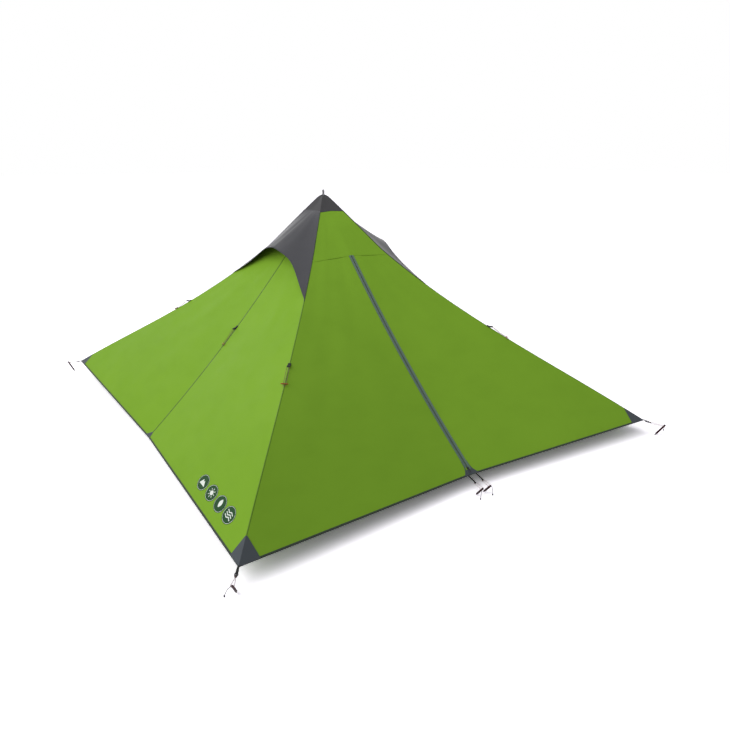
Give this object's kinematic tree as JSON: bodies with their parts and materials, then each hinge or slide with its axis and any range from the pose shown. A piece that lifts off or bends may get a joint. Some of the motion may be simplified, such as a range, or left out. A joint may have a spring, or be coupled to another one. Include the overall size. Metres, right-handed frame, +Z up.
{
  "type": "trekking tent",
  "caption": "Four-sided trekking tent on a telescopic centre pole, with a zipped front that folds back, two hooded mesh vents, pegged corners and short guy lines with runners.",
  "frame": {"origin": "on the ground under the apex, at the middle of the pole foot's sole", "axes": "+Z up, front with the zip towards -Y, +X to the right seen from the front"},
  "size_m": [3.243, 3.8592, 1.643],
  "materials": {
    "canopy_green": "woven nylon with a faint sheen",
    "cap_grey": "matt woven",
    "vent_mesh": "fine mesh",
    "zip_tape": "woven tape",
    "webbing_black": "woven webbing",
    "black_plastic": "satin",
    "cord_red": "braided",
    "runner_plastic": "satin",
    "peg_metal": "anodised",
    "pole_alloy": "satin",
    "rubber": "matt"
  },
  "bodies": {
    "canopy": {"apex_cap": "cap_grey", "apex_loop": "webbing_black", "back_panel": "canopy_green", "buckle_back_left": "black_plastic", "buckle_back_right": "black_plastic", "buckle_front_left": "black_plastic", "buckle_front_right": "black_plastic", "corner_patch_back_left": "cap_grey", "corner_patch_back_right": "cap_grey", "corner_patch_front_left": "cap_grey", "corner_patch_front_right": "cap_grey", "front_panel_left": "canopy_green", "front_panel_right": "canopy_green", "front_yoke": "canopy_green", "guy_cord_back_left": "cord_red", "guy_cord_back_right": "cord_red", "guy_cord_front_left": "cord_red", "guy_cord_front_right": "cord_red", "guy_cord_left": "cord_red", "guy_cord_right": "cord_red", "hood_batten_left": "black_plastic", "hood_batten_right": "black_plastic", "peg_back_left": "peg_metal", "peg_back_right": "peg_metal", "peg_cord_back_left": "cord_red", "peg_cord_back_right": "cord_red", "peg_cord_front_left": "cord_red", "peg_cord_front_right": "cord_red", "peg_front_left": "peg_metal", "peg_front_right": "peg_metal", "pole_clamp": "black_plastic", "pole_tip": "rubber", "pole_upper": "pole_alloy", "side_panel_left": "canopy_green", "side_panel_right": "canopy_green", "vent_hood_left": "cap_grey", "vent_hood_right": "cap_grey", "vent_mesh_left": "vent_mesh", "vent_mesh_right": "vent_mesh"},
    "door_left": {"door_left": "canopy_green", "zip_tape_left": "zip_tape", "door_patch_left": "cap_grey", "door_peg_cord_left": "cord_red", "door_peg_left": "peg_metal"},
    "door_right": {"door_right": "canopy_green", "zip_tape_right": "zip_tape", "door_patch_right": "cap_grey", "door_peg_cord_right": "cord_red", "door_peg_right": "peg_metal"},
    "slider": {"zip_slider": "black_plastic"},
    "puller": {"zip_puller": "black_plastic"},
    "lower_pole": {"pole_lower": "pole_alloy", "pole_foot": "rubber"},
    "lever": {"clamp_lever": "runner_plastic"},
    "runner_front_left": {"guy_runner_front_left": "runner_plastic"},
    "runner_front_right": {"guy_runner_front_right": "runner_plastic"},
    "runner_back_left": {"guy_runner_back_left": "runner_plastic"},
    "runner_back_right": {"guy_runner_back_right": "runner_plastic"},
    "runner_left": {"guy_runner_left": "runner_plastic"},
    "runner_right": {"guy_runner_right": "runner_plastic"}
  },
  "joints": [
    {"name": "door_left_fold", "type": "hinge", "parent": "canopy", "child": "door_left", "pos_m": [-0.022, -0.37599, 1.2114], "axis": [-0.3788, -0.7202, -0.5813], "range_deg": [0, 150]},
    {"name": "door_right_fold", "type": "hinge", "parent": "canopy", "child": "door_right", "pos_m": [0.022, -0.37599, 1.2114], "axis": [-0.3788, 0.7202, 0.5813], "range_deg": [0, 150]},
    {"name": "zip_slide", "type": "hinge", "parent": "door_right", "child": "slider", "pos_m": [0, -7.4991, 8.24147], "axis": [1, 0, 0], "range_deg": [0, 9.37]},
    {"name": "puller_turn", "type": "hinge", "parent": "slider", "child": "puller", "pos_m": [0, -1.67333, 0.10967], "axis": [-1, 0, 0], "range_deg": [0, 150]},
    {"name": "pole_extend", "type": "slide", "parent": "canopy", "child": "lower_pole", "axis": [0, 0, 1], "range_m": [0, 0.55]},
    {"name": "lever_open", "type": "hinge", "parent": "canopy", "child": "lever", "pos_m": [0.0176, 0, 0.86], "axis": [0, 0, -1], "range_deg": [0, 110]},
    {"name": "runner_front_left_slide", "type": "slide", "parent": "canopy", "child": "runner_front_left", "axis": [0.5637, 0.6709, 0.4819], "range_m": [0, 0.04]},
    {"name": "runner_front_right_slide", "type": "slide", "parent": "canopy", "child": "runner_front_right", "axis": [-0.5637, 0.6709, 0.4819], "range_m": [0, 0.04]},
    {"name": "runner_back_left_slide", "type": "slide", "parent": "canopy", "child": "runner_back_left", "axis": [0.5617, -0.6685, 0.4874], "range_m": [0, 0.04]},
    {"name": "runner_back_right_slide", "type": "slide", "parent": "canopy", "child": "runner_back_right", "axis": [-0.5617, -0.6685, 0.4874], "range_m": [0, 0.04]},
    {"name": "runner_left_slide", "type": "slide", "parent": "canopy", "child": "runner_left", "axis": [0.6838, 0, 0.7297], "range_m": [0, 0.04]},
    {"name": "runner_right_slide", "type": "slide", "parent": "canopy", "child": "runner_right", "axis": [-0.6838, 0, 0.7297], "range_m": [0, 0.04]}
  ]
}
